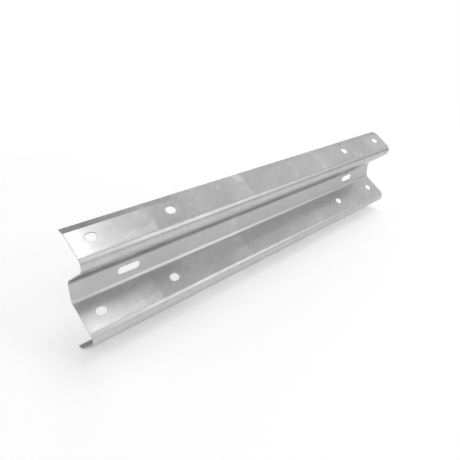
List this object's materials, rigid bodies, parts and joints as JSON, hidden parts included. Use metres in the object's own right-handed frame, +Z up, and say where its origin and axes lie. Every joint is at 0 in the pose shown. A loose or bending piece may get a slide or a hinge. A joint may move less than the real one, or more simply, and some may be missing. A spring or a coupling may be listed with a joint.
{
  "type": "w-beam guardrail panel",
  "caption": "Straight steel guardrail panel with a W-shaped section, slotted near its ends to bolt to posts and to lap onto the next panel.",
  "frame": {"origin": "on the flat back of the valley, which bears on the post, at mid-length and mid-height", "axes": "+X along the rail, +Y towards the post, away from the traffic side, +Z up"},
  "size_m": [1.3174, 0.083, 0.312],
  "materials": {
    "galvanised_steel": "hot-dip galvanised: satin grey zinc with soft cloudy patches and a faint spangle"
  },
  "bodies": {
    "root": {"w_beam_rail": "galvanised_steel"}
  },
  "joints": []
}
